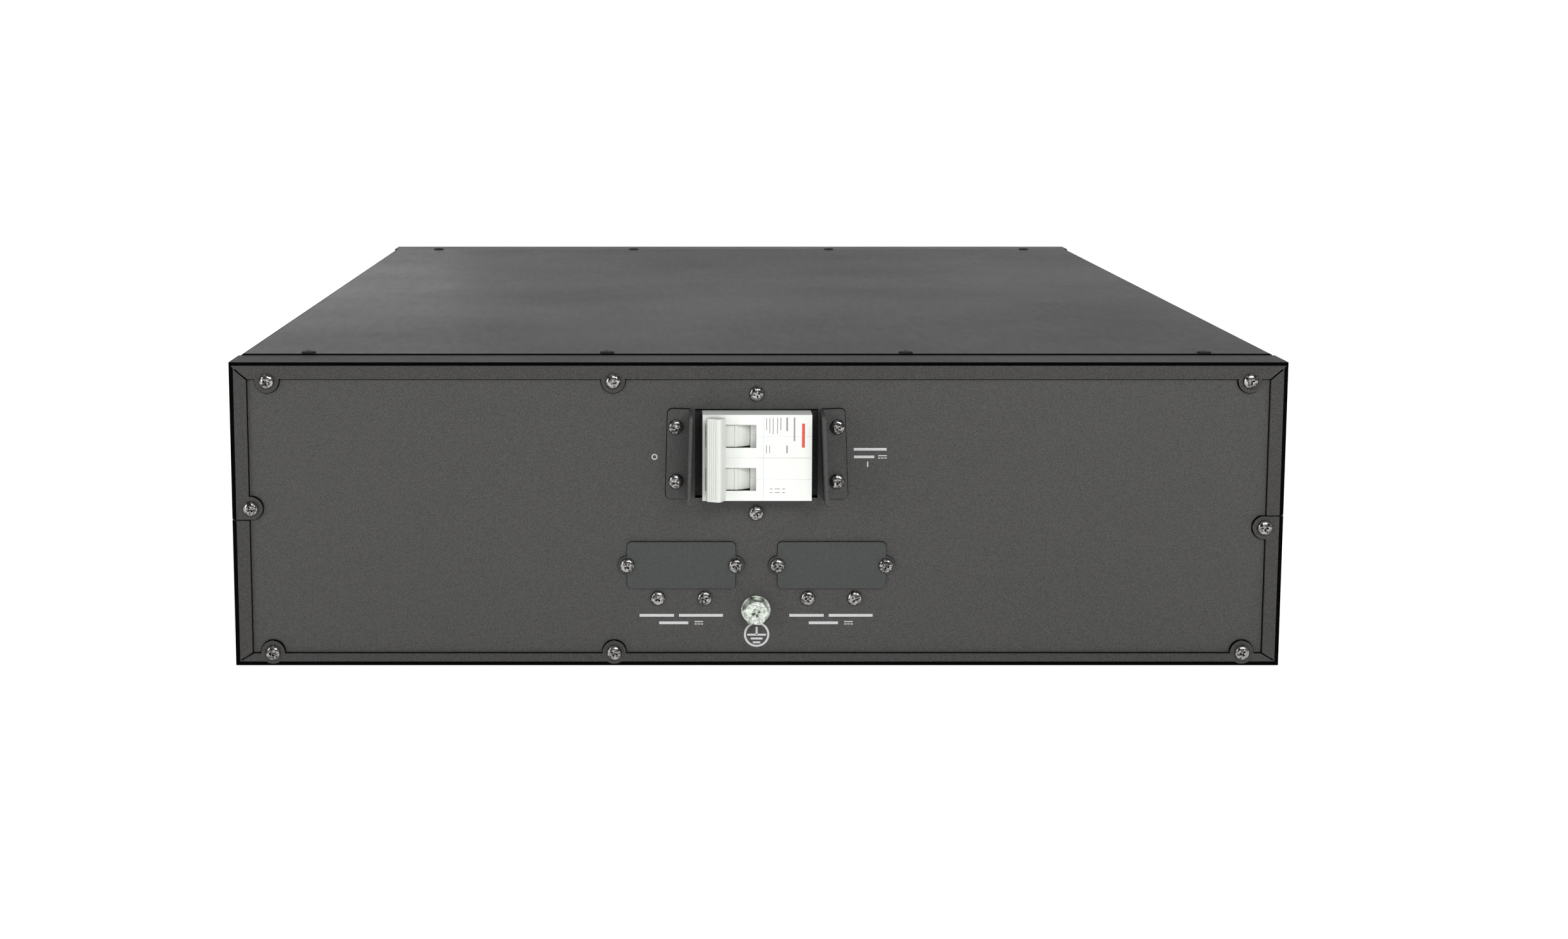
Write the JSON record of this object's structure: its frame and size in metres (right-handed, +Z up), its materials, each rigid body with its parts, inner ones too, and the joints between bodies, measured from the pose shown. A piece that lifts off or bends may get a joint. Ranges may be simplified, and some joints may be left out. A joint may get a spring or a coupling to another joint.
{
  "type": "server rack battery",
  "caption": "Flat 3U rack-mount battery pack with a rear panel holding a two-pole breaker between guards, covered power connectors and an earth bolt.",
  "frame": {"origin": "middle of the underside of the case, in the middle of its bounding box seen from above", "axes": "+X to the right when facing the rear panel, +Y from the rear panel to the front bezel, +Z up"},
  "size_m": [0.438, 0.6086, 0.13],
  "materials": {
    "panel_paint": "textured powder coat, matte",
    "cover_paint": "smooth powder coat, satin",
    "plate_paint": "smooth paint, satin",
    "bezel_plastic": "moulded, matte",
    "breaker_plastic": "moulded, satin",
    "toggle_plastic": "moulded, satin",
    "nickel": "nickel plated",
    "black_screws": "black zinc plated",
    "zinc": "zinc plated steel",
    "brass": "tinned copper and brass",
    "connector_plastic": "moulded, matte",
    "block_plastic": "moulded, satin",
    "insulating_film": "pressboard",
    "foam": "closed-cell foam",
    "lead_insulation": "soft insulation"
  },
  "bodies": {
    "case": {"arc_chutes": "zinc", "base_tray": "cover_paint", "battery_leads": "lead_insulation", "battery_pair_01": "block_plastic", "battery_pair_02": "block_plastic", "battery_pair_03": "block_plastic", "battery_pair_04": "block_plastic", "battery_pair_05": "block_plastic", "battery_pair_06": "block_plastic", "battery_pair_07": "block_plastic", "battery_pair_08": "block_plastic", "battery_pair_09": "block_plastic", "battery_pair_10": "block_plastic", "battery_partition": "zinc", "battery_stop": "zinc", "battery_terminals": "brass", "bezel_screws": "black_screws", "breaker_case_lower": "breaker_plastic", "breaker_case_upper": "breaker_plastic", "breaker_lid_lower": "breaker_plastic", "breaker_lid_upper": "breaker_plastic", "connector_bracket_screws": "nickel", "connector_brackets": "zinc", "connector_contacts": "brass", "connector_cover_left": "plate_paint", "connector_cover_right": "plate_paint", "connector_cover_screws": "nickel", "connector_leads": "lead_insulation", "connector_left": "connector_plastic", "connector_right": "connector_plastic", "cover_screws": "black_screws", "din_rail": "zinc", "ear_nuts": "zinc", "earth_bolt": "zinc", "earth_nut": "zinc", "earth_washers": "zinc", "fixed_contacts": "brass", "foam_strips": "foam", "frame_screws": "nickel", "front_bezel": "bezel_plastic", "guard_left": "panel_paint", "guard_right": "panel_paint", "guard_screws": "nickel", "insulating_sheet": "insulating_film", "rail_bracket": "zinc", "rail_bracket_screws": "nickel", "rail_clips": "toggle_plastic", "rear_frame_lower": "panel_paint", "rear_frame_upper": "panel_paint", "rear_panel": "panel_paint", "series_links": "brass", "terminal_clamps": "zinc", "terminal_screws": "zinc", "top_cover": "cover_paint", "trip_coils": "brass"},
    "toggle": {"toggle_upper": "toggle_plastic", "toggle_lower": "toggle_plastic", "handle_tie": "toggle_plastic"},
    "arm_upper": {"contact_arm_upper": "brass"},
    "arm_lower": {"contact_arm_lower": "brass"}
  },
  "joints": [
    {"name": "toggle_swing", "type": "hinge", "parent": "case", "child": "toggle", "pos_m": [-0.0115, -0.28475, 0.0903], "axis": [0, 0, 1], "range_deg": [0, 47]},
    {"name": "arm_upper_swing", "type": "hinge", "parent": "case", "child": "arm_upper", "pos_m": [0.0053, -0.26525, 0.09925], "axis": [0, 0, 1], "range_deg": [0, 12]},
    {"name": "arm_lower_swing", "type": "hinge", "parent": "case", "child": "arm_lower", "pos_m": [0.0053, -0.26525, 0.08135], "axis": [0, 0, 1], "range_deg": [0, 12]}
  ],
  "couplings": [
    {"joint": "arm_upper_swing", "follows": "toggle_swing", "ratio": 0.2553},
    {"joint": "arm_lower_swing", "follows": "toggle_swing", "ratio": 0.2553}
  ]
}
